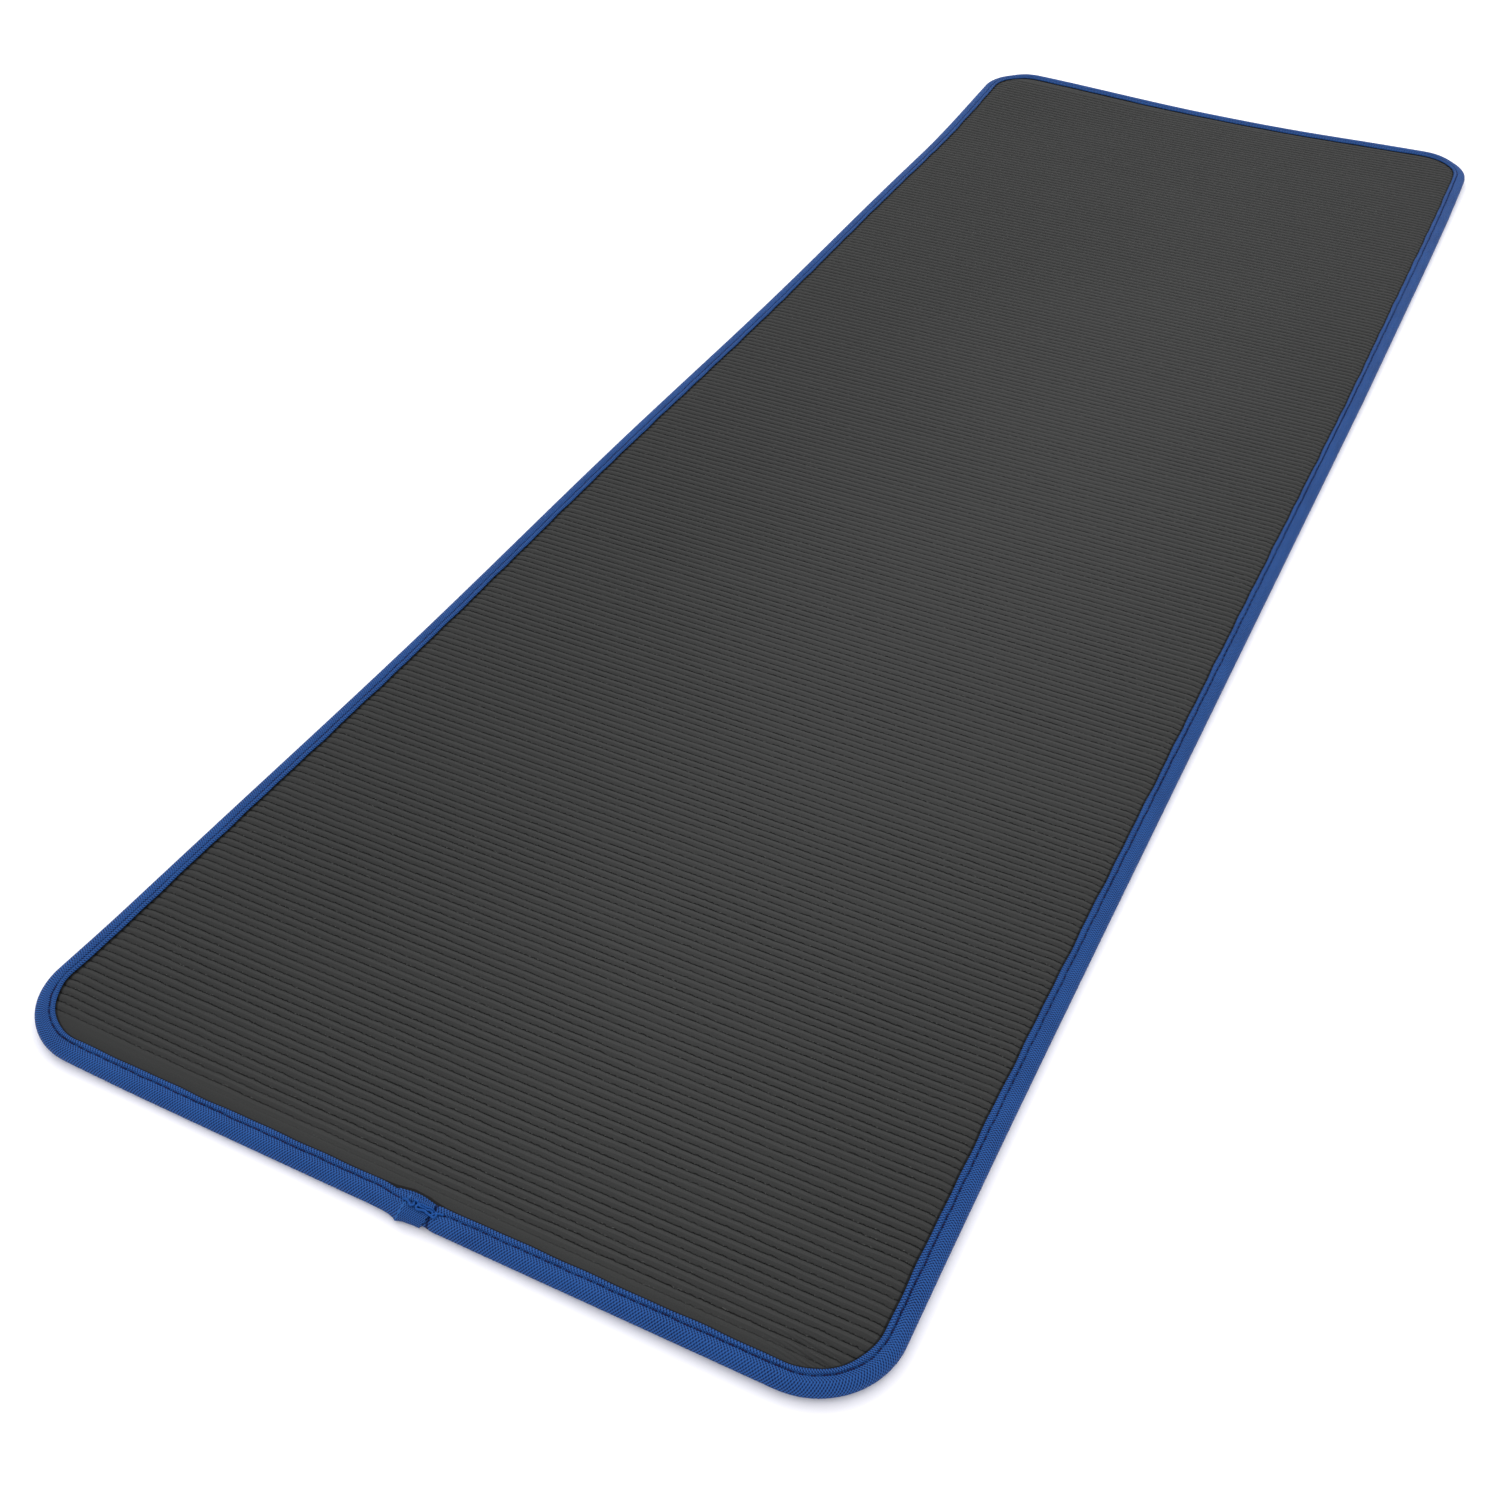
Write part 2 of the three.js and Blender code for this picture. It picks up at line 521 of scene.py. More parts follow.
@dataclass(frozen=True)
class Rim:
    """The mat's outline: a rectangle with round corners.

    Distances along it start in the middle of the near short side and run towards +X.
    """

    half_width: float
    half_length: float
    corner_radius: float = 55 * MM

    @property
    def reach(self) -> Pair:
        """The half width and half length of the straight stretches."""
        return self.half_width - self.corner_radius, self.half_length - self.corner_radius

    @property
    def length(self) -> float:
        """The whole way round."""
        return 4 * sum(self.reach) + TURN * self.corner_radius

    def places(self, along: np.ndarray) -> tuple[np.ndarray, np.ndarray]:
        """Finds points on the outline.

        Args:
            along: how far round each point is.

        Returns:
            The points, and the directions that point straight inwards there.
        """
        reach_x, reach_y = self.reach
        left = np.mod(along + reach_x, self.length)
        points = np.zeros((len(left), 2))
        inward = np.zeros((len(left), 2))
        arc = QUARTER * self.corner_radius
        corners = [(reach_x, -reach_y), (reach_x, reach_y), (-reach_x, reach_y), (-reach_x, -reach_y)]
        for side, corner in enumerate(corners):
            straight = 2 * (reach_x if side % 2 == 0 else reach_y)
            heading = side * QUARTER
            ahead = np.array([math.cos(heading), math.sin(heading)])
            out = np.array([math.sin(heading), -math.cos(heading)])
            end = np.array(corner) + out * self.corner_radius
            here = (left >= 0) & (left < straight)
            points[here] = end + (left[here] - straight)[:, None] * ahead
            inward[here] = -out
            left = left - straight
            here = (left >= 0) & (left < arc)
            angle = heading - QUARTER + left[here] / self.corner_radius
            spoke = np.stack([np.cos(angle), np.sin(angle)], axis=1)
            points[here] = np.array(corner) + self.corner_radius * spoke
            inward[here] = -spoke
            left = left - arc
        return points, inward


class Corner(Enum):
    """The mat's corners, as signs along X and Y."""

    NEAR_LEFT = (-1, -1)
    NEAR_RIGHT = (1, -1)
    FAR_RIGHT = (1, 1)
    FAR_LEFT = (-1, 1)


@dataclass(frozen=True)
class Curl:
    """A corner that has lifted off the floor."""

    corner: Corner
    height: float
    reach: float


@dataclass(frozen=True)
class FloorLay:
    """How the mat lies after being stored rolled up: corners that curl, and sides a little bowed."""

    rim: Rim
    curls: tuple[Curl, ...] = (
        Curl(Corner.NEAR_LEFT, 2.7 * MM, 120 * MM),
        Curl(Corner.NEAR_RIGHT, 2.0 * MM, 450 * MM),
        Curl(Corner.FAR_RIGHT, 3.2 * MM, 217 * MM),
        Curl(Corner.FAR_LEFT, 9.4 * MM, 283 * MM),
    )
    left_bow: float = 5.0 * MM
    left_wave: float = 1.25 * MM
    left_waves: float = 1.36
    left_shift: float = 0.31
    right_bow: float = 2.4 * MM
    right_lean: float = 6.3 * MM
    right_most: float = 2.0 * MM
    near_bow: float = 0.55 * MM
    far_bow: float = 3.6 * MM
    far_dent: float = 4.6 * MM
    dent_at: Pair = (50 * MM, 100 * MM)
    far_turn_up: float = 1.8 * MM
    turned_band: float = 17 * MM

    def settle(self, piece: bpy.types.Object) -> None:
        """Lays a flat piece as the mat lies.

        Args:
            piece: a piece whose mesh is in the frame's place.
        """
        points = points_of(piece.data)
        x = points[:, 0] / self.rim.half_width
        y = points[:, 1] / self.rim.half_length
        for curl in self.curls:
            side, end = curl.corner.value
            away = (1 - side * x) * self.rim.half_width + (1 - end * y) * self.rim.half_length
            points[:, 2] += curl.height * smooth_step(1 - away / curl.reach, 0, 1)
        far = self.rim.half_length
        turned = smooth_step(points[:, 1], far - self.turned_band, far)
        points[:, 2] += self.far_turn_up * turned
        left = self.left_bow + self.left_wave * np.sin(self.left_waves * TURN * y - self.left_shift)
        right = self.right_bow + np.minimum(self.right_lean * y, self.right_most)
        left *= np.clip(1 - y**4, 0, 1)
        right *= np.clip(1 - np.where(y > 0, y**8, y**4), 0, 1)
        points[:, 0] += (left * (1 - x) + right * (1 + x)) / 2
        across = np.clip(1 - x**2, 0, 1)
        dent = np.exp(-(((x * self.rim.half_width - self.dent_at[0]) / self.dent_at[1]) ** 2))
        points[:, 1] += across * self.far_bow * np.clip(y, 0, 1) ** 3
        points[:, 1] -= dent * self.far_dent * np.clip(y, 0, 1) ** 6
        points[:, 1] -= across * self.near_bow * np.clip(-y, 0, 1) ** 3
        piece.data.vertices.foreach_set("co", points.astype(np.float32).ravel())
        piece.data.update()


# Finishes --------------------------------------------------------------------------------------


def new_material(name: str) -> tuple[bpy.types.Material, Bench, bpy.types.Node]:
    """Starts a material.

    Args:
        name: its name.

    Returns:
        The material, a bench for its nodes, and its shader node, already linked to the output.
    """
    material = bpy.data.materials.new(name)
    material.use_nodes = True
    material.node_tree.nodes.clear()
    bench = Bench(material.node_tree)
    shader = bench.add("ShaderNodeBsdfPrincipled")
    bench.add("ShaderNodeOutputMaterial", {}, {"Surface": shader.outputs[0]})
    return material, bench, shader


def dress_shader(
    bench: Bench,
    shader: bpy.types.Node,
    colour: Signal,
    roughness: Signal,
    gloss: float,
    height: Signal,
    depth: float,
    strength: float = 1.0,
) -> None:
    """Feeds a shader everything that gives a finish its look.

    Args:
        bench: the material's bench.
        shader: its shader node.
        colour: the base colour.
        roughness: how matt it is.
        gloss: the specular level.
        height: the bump's height, from 0 to 1.
        depth: how deep the bump is.
        strength: how much of the bump shows.
    """
    bench.feed(shader.inputs["Base Color"], colour)
    bench.feed(shader.inputs["Roughness"], roughness)
    bench.feed(shader.inputs["Specular IOR Level"], gloss)
    sockets = {"Height": height, "Distance": depth, "Strength": strength}
    bump = bench.add("ShaderNodeBump", {}, sockets)
    bench.feed(shader.inputs["Normal"], bench.out(bump))


@dataclass(frozen=True)
class FoamFinish:
    """Charcoal closed-cell foam: matt, finely pitted, with painted shade in the grooves between ribs
    and beside the tape, painted glints, and painted light across the ribs.
    """

    pitch: float
    colour: Colour = (0.0172, 0.0177, 0.0175, 1)
    # The paler colour: for grain and random tone, and for painted light.
    paler_and_lit: Colour = (0.0300, 0.0306, 0.0303, 1)
    # Painted shade: the colour laid along each groove between ribs, where shade falls, and on the
    # foam beside the tape.
    crease: Colour = (0.0015, 0.0016, 0.0016, 1)
    # Painted highlight: bright glints on the lip just beside each groove.
    groove_glint: Colour = (0.095, 0.097, 0.095, 1)
    crease_width: float = 0.30 * MM
    crease_wander: float = 2.7 * MM
    crease_fade: Pair = (0.25, 1.3)
    glint_width: float = 0.24 * MM
    glint_offset: float = 0.50 * MM
    # Painted shadow: where the foam is darkened beside the tape's free edge, as a contact shadow.
    tape_shade: Pair = (0.9 * MM, 1.5 * MM)
    grain_size: float = 0.8 * MM
    pleat_pitch: float = 2.4 * MM
    pleats_reach: float = 17 * MM
    pleats_at: Pair = (0.256, 0.0235)
    # Painted light: where a broad lighter patch lies on the foam, and how far it spreads.
    lit_pool_at: Pair = (0.09, 0.72)
    lit_pool_reach: Pair = (0.25, 0.85)
    gloss: float = 0.28
    bump_depth: float = 0.4 * MM

    def material(self) -> bpy.types.Material:
        """Returns the foam's material. Its map runs across the mat and along it, rib by rib."""
        material, bench, shader = new_material("charcoal_foam")
        across, along = bench.uv()
        past, ribbed = bench.stored(PAST_NAME), bench.stored(RIBBED_NAME)
        rib = (along / self.pitch).whole()
        wander = bench.noise(bench.join(across * 300, rib * 7.3, 0), detail=4) - 0.5
        off = along - rib * self.pitch + wander * self.crease_wander
        strength = bench.noise(bench.join(across * 8, rib * 3.7, 2), detail=2).step(0.32, 0.60)
        other = (rib * QUARTER).sine() ** 2 * (1 - across.step(-0.25, 0.05) * 0.6)
        broken = bench.noise(bench.join(across * 420, rib * 5.1, 4), detail=2).step(0.28, 0.6)
        # Painted shade along each groove: stronger or fainter groove by groove, and fainter along the
        # mat where the grooves hide behind the crests.
        line = off.bell(self.crease_width) * (strength * 0.4 + 0.85 - other * 0.28)
        line = line * (broken * 0.25 + 0.8) * ribbed * (1 - along.step(*self.crease_fade) * 0.4)
        # Painted glints: bright specks, here and there, along one lip of each groove.
        chance = bench.noise(bench.join(across * 640, rib * 2.9, 7), detail=1).step(0.60, 0.70)
        glints = (off - self.glint_offset).bell(self.glint_width) * chance * ribbed
        glints = glints * (0.3 + strength * 0.7)
        flat = bench.join(across, along, 0)
        grain = bench.noise(flat, 1 / self.grain_size, 3)
        patch = bench.noise(flat, 6, 2) - 0.5
        # Painted light: a broad lighter patch on the foam, where the light falls brighter.
        lit_pool = (across - self.lit_pool_at[0]).bell(self.lit_pool_reach[0])
        lit_pool = lit_pool * (along - self.lit_pool_at[1]).bell(self.lit_pool_reach[1])
        # Grain and random tone, plus the painted light patch and painted shading: each rib lighter on
        # its far-facing slope and darker on its near-facing slope.
        mottle_and_light = lit_pool * 1.05 + patch * 0.4 + (grain - 0.5) * 1.8 - off * ribbed * (0.75 / self.pitch)
        tone = bench.mix(mottle_and_light, self.colour, self.paler_and_lit)
        tone = bench.mix(glints * 0.8, tone, self.groove_glint)
        # Painted shade: the groove shade and the painted contact shadow beside the tape, taken
        # together.
        shade = line.at_least(1 - past.step(*self.tape_shade))
        tone = bench.mix(shade, tone, self.crease)
        from_x, from_y = across - self.pleats_at[0], along - self.pleats_at[1]
        near = (from_x * from_x + from_y * from_y * 4).root().bell(self.pleats_reach)
        pleats = ((from_x * 0.16 + from_y) * (TURN / self.pleat_pitch)).sine() * near
        height = grain * 0.12 - line + pleats * 0.8
        rough = 0.74 + grain * 0.16
        dress_shader(bench, shader, tone, rough, self.gloss, height, self.bump_depth, 0.9)
        return material


@dataclass(frozen=True)
class TapeFinish:
    """Royal blue woven polyester tape, whose yarns cross in a lattice of small diamonds, with a
    painted highlight along the lap's fold and painted shade just past the lap's end.
    """

    light: Colour = (0.0210, 0.086, 0.294, 1)
    dark: Colour = (0.0040, 0.009, 0.044, 1)
    # Painted highlight: the pale colour laid along the lap's fold.
    pale: Colour = (0.030, 0.140, 0.400, 1)
    yarn_pitch: float = 2.0 * MM
    row_pitch: float = 2.5 * MM
    fine_pitch: float = 0.5 * MM
    ridge_at: float = 11.0 * MM
    fold_at: float = 0.0
    fold_highlight_width: float = 0.45 * MM
    end_at: float = 0.0
    # Painted shade: where the tape is darkened just past the lap's end, under the covering end.
    end_shade_reach: float = 0.8 * MM
    gloss: float = 0.05
    bump_depth: float = 0.3 * MM

    def material(self) -> bpy.types.Material:
        """Returns the tape's material. Its map runs along the tape and across it."""
        material, bench, shader = new_material("royal_blue_tape")
        along, across = bench.uv()
        loose = bench.noise(bench.join(along * 150, across * 150, 0), detail=2) - 0.5
        turn = along * (TURN / self.yarn_pitch) + loose * 1.0
        lean = abs(across - self.ridge_at) * (TURN / self.row_pitch)
        over = (turn + lean).sine() * 0.5 + 0.5
        under = (turn - lean).sine() * 0.5 + 0.5
        weave = over * 0.62 + under * 0.38
        fine = (along * (TURN / self.fine_pitch)).sine() * 0.5 + 0.5
        cover = bench.noise(bench.join(along * 30, across * 60, 3), detail=2)
        # Painted highlight along the lap's fold, where the pressed crease catches the light.
        fold = (along - self.fold_at).bell(self.fold_highlight_width)
        # Painted shade on the tape just past the lap's end.
        end_shade = (along - self.end_at - self.end_shade_reach).bell(self.end_shade_reach)
        tone = weave.step(0.12, 0.74) * 0.98 + fine * 0.05 + (cover - 0.5) * 0.4
        tone = tone.at_least(fold) - end_shade
        woven = bench.mix(tone, self.dark, self.light)
        colour = bench.mix(fold * 0.45, woven, self.pale)
        rough, height = 0.62 - weave * 0.1, weave + fine * 0.12
        dress_shader(bench, shader, colour, rough, self.gloss, height, self.bump_depth)
        return material


@dataclass(frozen=True)
class ThreadFinish:
    """Twisted polyester sewing thread."""

    name: str
    light: Colour
    dark: Colour
    twist: float = 0.7 * MM
    fuzz_scale: float = 2500
    gloss: float = 0.12
    ply_depth: float = 0.08 * MM

    def material(self) -> bpy.types.Material:
        """Returns the thread's material, whose plies show as slanting bands."""
        material, bench, shader = new_material(self.name)
        place = bench.out(bench.add("ShaderNodeTexCoord"), "Object")
        x, y, z = bench.split(place)
        ply = ((x + y + z * 2) * (TURN / self.twist)).sine() * 0.5 + 0.5
        fuzz = bench.noise(place, self.fuzz_scale, 2)
        colour = bench.mix(ply * 0.6 + fuzz * 0.4, self.dark, self.light)
        dress_shader(bench, shader, colour, 0.6 + fuzz * 0.2, self.gloss, ply, self.ply_depth)
        return material


# The mat's pieces --------------------------------------------------------------------------------


@dataclass(frozen=True)
class FoamSheet:
    """The ribbed foam sheet, squeezed along its edge where the tape grips it."""

    rim: Rim
    thickness: float
    tape_reach: float
    outline_inset: float = 2.0 * MM
    rib_pitch: float = 6.45 * MM
    stretch: float = 0.055
    rib_rise: float = 0.75 * MM
    groove_depth: float = 0.30 * MM
    wander: float = 0.8 * MM
    rows_per_rib: int = 8
    columns: int = 60
    row_crowding: float = 0.85
    column_crowding: float = 0.45
    gripped_half: float = 3.3 * MM
    nose_depth: float = 3 * MM
    dip: Pair = (-2.5 * MM, 8.0 * MM)
    rib_start: Pair = (9 * MM, 11 * MM)
    weld: float = 0.02 * MM
    plain_end: Pair = (16 * MM, 28 * MM)
    plain_lean: float = 0.012

    @property
    def length(self) -> float:
        """The sheet's own length."""
        return 2 * (self.rim.half_length - self.outline_inset)

    @property
    def ribs(self) -> int:
        """How many ribs the sheet has."""
        return round(self.length / self.rib_pitch)

    def build(self) -> bpy.types.Object:
        """Makes the sheet as one closed mesh.

        Returns:
            The flat sheet, before it is laid.
        """
        finish = FoamFinish(pitch=self.length / self.ribs)
        recipe = Recipe(
            "ribbed_sheet",
            {
                "Length": ("Float", self.length),
                "Width": ("Float", 2 * (self.rim.half_width - self.outline_inset)),
                "Corner Radius": ("Float", self.rim.corner_radius - self.outline_inset),
                "Thickness": ("Float", self.thickness),
                "Ribs": ("Int", self.ribs),
                "Rows per Rib": ("Int", self.rows_per_rib),
                "Columns": ("Int", self.columns),
                "Rib Rise": ("Float", self.rib_rise),
                "Groove Depth": ("Float", self.groove_depth),
                "Wander": ("Float", self.wander),
                "Material": ("Material", finish.material()),
            },
        )
        bench = recipe.bench
        both = bench.add("GeometryNodeJoinGeometry")
        for side in (-1, 1):
            bench.feed(both.inputs[0], self._face(recipe, side))
        sockets = {0: bench.out(both), "Distance": self.weld}
        welded = bench.add("GeometryNodeMergeByDistance", {}, sockets)
        smooth = bench.add("GeometryNodeSetShadeSmooth", {}, {0: bench.out(welded)})
        recipe.finish(bench.out(smooth))
        return recipe.make("foam_sheet", bpy.data.meshes.new("foam_seed"))

    def _face(self, recipe: Recipe, side: int) -> Signal:
        """Makes one face of the sheet.

        Args:
            recipe: the tree that it goes into.
            side: 1 for the top face and -1 for the underside.

        Returns:
            The face's geometry, whose rim meets the other face's.
        """
        bench = recipe.bench
        length, width = recipe.given("Length"), recipe.given("Width")
        radius, ribs = recipe.given("Corner Radius"), recipe.given("Ribs")
        grid = bench.add(
            "GeometryNodeMeshGrid",
            {},
            {
                "Size X": 2.0,
                "Size Y": 1.0,
                "Vertices X": recipe.given("Columns"),
                "Vertices Y": ribs * recipe.given("Rows per Rib") + 1,
            },
        )
        across, row, _ = bench.split(bench.out(bench.add("GeometryNodeInputPosition")))
        even = (row + 0.5) * ribs
        rib = even - (even * TURN).sine() * (self.row_crowding / TURN)
        share = rib / ribs
        y = (share + (share * share - share) * self.stretch - 0.5) * length
        corner_x, corner_y = width / 2 - radius, length / 2 - radius
        past = (abs(y) - corner_y).at_least(0)
        half = corner_x + (radius * radius - past * past).at_least(0).root()
        crowd = self.column_crowding
        x = half * (across * (1 - crowd) + (across * QUARTER).sine() * crowd)
        inset = self._inset(abs(x) - corner_x, abs(y) - corner_y, radius)
        end = length / 2 - abs(y) + self.outline_inset
        ribbed = inset.step(*self.rib_start) * (end + x * self.plain_lean).step(*self.plain_end)
        groove = abs(2 * (rib - rib.whole()))
        number = rib.whole()
        strength = bench.noise(bench.join(x * 9, number * 3.7, 2), detail=2).step(0.30, 0.62)
        drift = bench.noise(bench.join(x * 60, number * 7.3, side), detail=2) - 0.5
        grip = inset - self.outline_inset
        nose = 1 - (1 - (grip / self.nose_depth).at_most(1)) ** 2
        swell = inset.step(*(self.tape_reach + end for end in self.dip))
        half_height = nose.at_least(0).root() * self.gripped_half
        half_height = half_height + swell * (recipe.given("Thickness") / 2 - self.gripped_half)
        crown = (1 - groove) ** 2 * recipe.given("Rib Rise")
        cut = groove.bell(0.10) * recipe.given("Groove Depth") * (strength * 0.6 + 0.4)
        z = recipe.given("Thickness") / 2 + side * (half_height - ribbed * (crown + cut))
        moved = y + drift * 2 * recipe.given("Wander") * ribbed
        shape = bench.out(grid, "Mesh")
        shape = self._keep(bench, shape, RIBBED_NAME, "FLOAT", "POINT", ribbed)
        flat = bench.join(x, rib * (length / ribs), 0)
        shape = self._keep(bench, shape, UV_NAME, "FLOAT2", "CORNER", flat)
        sockets = {0: shape, "Position": bench.join(x, moved, z)}
        placed = bench.out(bench.add("GeometryNodeSetPosition", {}, sockets))
        if side > 0:
            return placed
        return bench.out(bench.add("GeometryNodeFlipFaces", {}, {0: placed}))

    def _inset(self, over_x: Signal, over_y: Signal, radius: Signal) -> Signal:
        """Finds how far inside the mat's outline a point is.

        Args:
            over_x: how far the point is past the corner arc's centre across the mat.
            over_y: the same along the mat.
            radius: the sheet's corner radius.

        Returns:
            The distance.
        """
        out_x, out_y = over_x.at_least(0), over_y.at_least(0)
        outside = (out_x * out_x + out_y * out_y).root() + over_x.at_least(over_y).at_most(0)
        return (radius - outside).at_least(0) + self.outline_inset

    @staticmethod
    def _keep(
        bench: Bench, shape: Signal, name: str, kind: str, domain: str, value: Signal
    ) -> Signal:
        """Stores a value on the geometry.

        Args:
            bench: the tree's bench.
            shape: the geometry.
            name: the attribute's name.
            kind: its type.
            domain: what it is stored on.
            value: what is stored.

        Returns:
            The geometry with the attribute.
        """
        node = bench.add(
            "GeometryNodeStoreNamedAttribute",
            {"data_type": kind, "domain": domain},
            {0: shape, "Name": name, "Value": value},
        )
        return bench.out(node)


@dataclass(frozen=True)
class Lap:
    """The join in the binding, where the tape's finishing end covers its tucked start.

    The finishing end is folded under itself at the crease. The swell lists, in millimetres, how
    far it stands out at points along X. The lean lists how much its creases slant there.
    """

    start: float = -3 * MM
    crease: float = 7 * MM
    end: float = 24 * MM
    swell: tuple[Pair, ...] = (
        (-14, 0), (-6, 0.25), (-1, 0.6), (4, 1.5), (7, 2.9),
        (8, 2.5), (12, 1.3), (15, 1.25), (18, 0.9), (24, 0.9),
    )
    lean: tuple[Pair, ...] = ((-14, 0), (7, 0.34), (24, 0.49))
    layer: float = 0.8 * MM
    hump: float = 2.0 * MM
    hump_middle: float = 9 * MM
    hump_half: float = 19 * MM
    drawn_in: float = 1.5 * MM
    run_out: float = 12 * MM
    fine_step: float = 0.75 * MM

    @property
    def swell_start(self) -> float:
        """Where the finishing end starts to stand out."""
        return self.swell[0][0] * MM


@dataclass(frozen=True)
class EdgeBinding:
    """The woven tape folded over the mat's edge, with its sewn channel, bead and lap."""

    rim: Rim
    height: float
    reach: float
    seam_inset: float
    stitch_pitch: float = 7.05 * MM
    cloth: float = 0.6 * MM
    lap: Lap = Lap()
    steps_per_stitch: int = 2
    outer_places: int = 50
    inner_skip: int = 4
    fine_places: int = 112
    edge_tuck: float = 0.3 * MM
    edge_wander: float = 0.45 * MM
    edge_drift: float = 0.5 * MM
    seam_wander: float = 0.32 * MM
    pucker: float = 0.30 * MM
    # Moves the foam's painted contact shadow further in along the sides and the far end.
    side_shade_shift: float = 0.65 * MM

    @property
    def stitches(self) -> int:
        """How many stitches go once round the mat."""
        return round(self.rim.length / self.stitch_pitch)

    def stations(self) -> np.ndarray:
        """Returns the distances along the tape where its section is set, closer at the lap."""
        even = np.linspace(0, self.rim.length, self.stitches * self.steps_per_stitch + 1)
        close = np.arange(self.lap.swell_start, self.lap.end + self.lap.run_out, self.lap.fine_step)
        low, high = close[0], close[-1]
        even = even[(even > high) & (even < self.rim.length + low)]
        creases = [self.lap.crease + self.rim.length, self.lap.end + 0.3 * MM]
        start = close[close > self.lap.start]
        finish = close[close < self.lap.end] + self.rim.length
        ends = [self.lap.start, self.lap.end + self.rim.length]
        return np.unique(np.concatenate([start, even, finish, creases, ends]))

    def seam(self, along: np.ndarray) -> np.ndarray:
        """Finds where the seam runs.

        Args:
            along: distances along the tape.

        Returns:
            How far inside the outline the seam is there.
        """
        over = self._covering(along)
        x = np.mod(along + self.rim.length / 2, self.rim.length) - self.rim.length / 2
        under = np.exp(-(((x - self.lap.end - 3 * MM) / (7 * MM)) ** 2)) * (x > self.lap.end)
        wander = self.seam_wander * ripple(along, 24 * MM, 5, self.rim.length)
        return self.seam_inset + wander - self.lap.drawn_in * np.maximum(over, under * 0.8)

    def edge(self, along: np.ndarray) -> np.ndarray:
        """Finds where the tape's free edge lies.

        Args:
            along: distances along the tape.

        Returns:
            How far inside the outline the edge is there.
        """
        over = self._covering(along)
        tucked = (along < self.rim.length / 2).astype(float)
        off = np.clip((along - self.lap.hump_middle) / self.lap.hump_half, -1, 1)
        hump = tucked * self.lap.hump * np.cos(off * QUARTER) ** 2
        wander = self.edge_wander * ripple(along, 62 * MM, 3, self.rim.length)
        wander += self.edge_drift * ripple(along, 900 * MM, 8, self.rim.length)
        return self.reach - self.edge_tuck + wander + hump - self.lap.drawn_in * over

    def mark_edge(self, sheet: bpy.types.Object) -> None:
        """Stores on the flat foam sheet how far past the tape's free edge each of its points is.

        The side shade shift comes off that everywhere but along the near side, so the foam's painted
        contact shadow reaches further in there.

        Args:
            sheet: the foam sheet.
        """
        along = np.arange(0, self.rim.length, 2 * MM) - self.lap.hump_half
        points, inward = self.rim.places(along)
        points += inward * self.edge(along)[:, None]
        tree = KDTree(len(points))
        for index, point in enumerate(points):
            tree.insert((*point, 0), index)
        tree.balance()
        flat = points_of(sheet.data)[:, :2]
        nearest = np.array([tree.find((*place, 0))[1] for place in flat])
        past = ((flat - points[nearest]) * inward[nearest]).sum(axis=1)
        past -= self.side_shade_shift * (1 - np.clip(inward[nearest, 1], 0, 1))
        layer = sheet.data.attributes.new(PAST_NAME, "FLOAT", "POINT")
        layer.data.foreach_set("value", past.astype(np.float32))

    def _covering(self, along: np.ndarray) -> np.ndarray:
        """Returns 1 where the tape lies over its own start, and 0 away from the lap."""
        x = along - self.rim.length
        return smooth_step(x, self.lap.swell_start, self.lap.start + 4 * MM)

    def _swell(self, along: np.ndarray) -> np.ndarray:
        """Returns how far the outer tape is pushed out by what is under it."""
        return np.interp(along - self.rim.length, *np.transpose(self.lap.swell) * MM)

    def _sunk(self, along: np.ndarray) -> np.ndarray:
        """Returns how deep the tucked start lies under the finishing end."""
        return self.lap.layer * (1 - smooth_step(along, self.lap.end - 1 * MM, self.lap.end + 5 * MM))

    def _guides(self, along: np.ndarray) -> np.ndarray:
        """Sets the tape's section at each station by guide points.

        Each guide is a place to start from across the tape and how much further in it is, in
        millimetres, then a level, how far above it, in millimetres, and what the cloth gives.

        Args:
            along: the stations.

        Returns:
            Guide points by station, from the free edge on top, round the nose, to the free edge
            underneath: how far in from the outline, and how high.
        """
        edge, seam = self.edge(along), self.seam(along)
        fold = np.cos(TURN * along * self.stitches / self.rim.length) * self.pucker
        plump = ripple(along, 38 * MM, 11, self.rim.length) * 0.07 * MM
        top, mid, floor = self.height, self.height / 2, 0
        guides = [
            (edge, 0.10, top, -1.00, 0),
            (edge, 0.12, top, -0.45, 0),
            (edge, -0.45, top, 0.10, plump),
            (edge, -1.50, top, 0.38, plump),
            (edge, -2.60, top, 0.20, plump),
            (seam, 0.65, top, -0.20, 0),
            (seam, 0, top, -1.22, fold),
            (seam, -0.60, top, -0.42, 0),
            (seam, -1.60, top, -0.06, plump),
            (seam, -3.10, top, 0.02, plump),
            (0, 3.30, top, -0.28, 0),
            (0, 1.50, top, -1.20, 0),
            (0, -0.15, top, -2.60, 0),
            (0, -0.80, mid, 0.10, 0),
            (0, -0.80, mid, -2.20, 0),
            (0, 0.30, floor, 1.05, 0),
            (0, 1.60, floor, 0.15, 0),
            (0, 4.00, floor, 0, 0),
            (seam, -0.90, floor, 0, 0),
            (seam, 0, floor, 0.55, -fold),
            (seam, 0.90, floor, 0, 0),
            (edge, -1.20, floor, 0, 0),
            (edge, -0.15, floor, 0.30, 0),
            (edge, 0.10, floor, 1.00, 0),
        ]
        points = np.array([
            np.broadcast_arrays(start + further * MM, level + rise * MM + give, along)[:2]
            for start, further, level, rise, give in guides
        ]).transpose(2, 0, 1)
        out = outward(points)
        lower = points[..., 1] < 0.5 * MM
        nose = np.clip(1 - (points[..., 0] - 1 * MM) / (9 * MM), 0.22, 1)
        nose = np.where(lower & (points[..., 0] > 2 * MM), 0, nose)
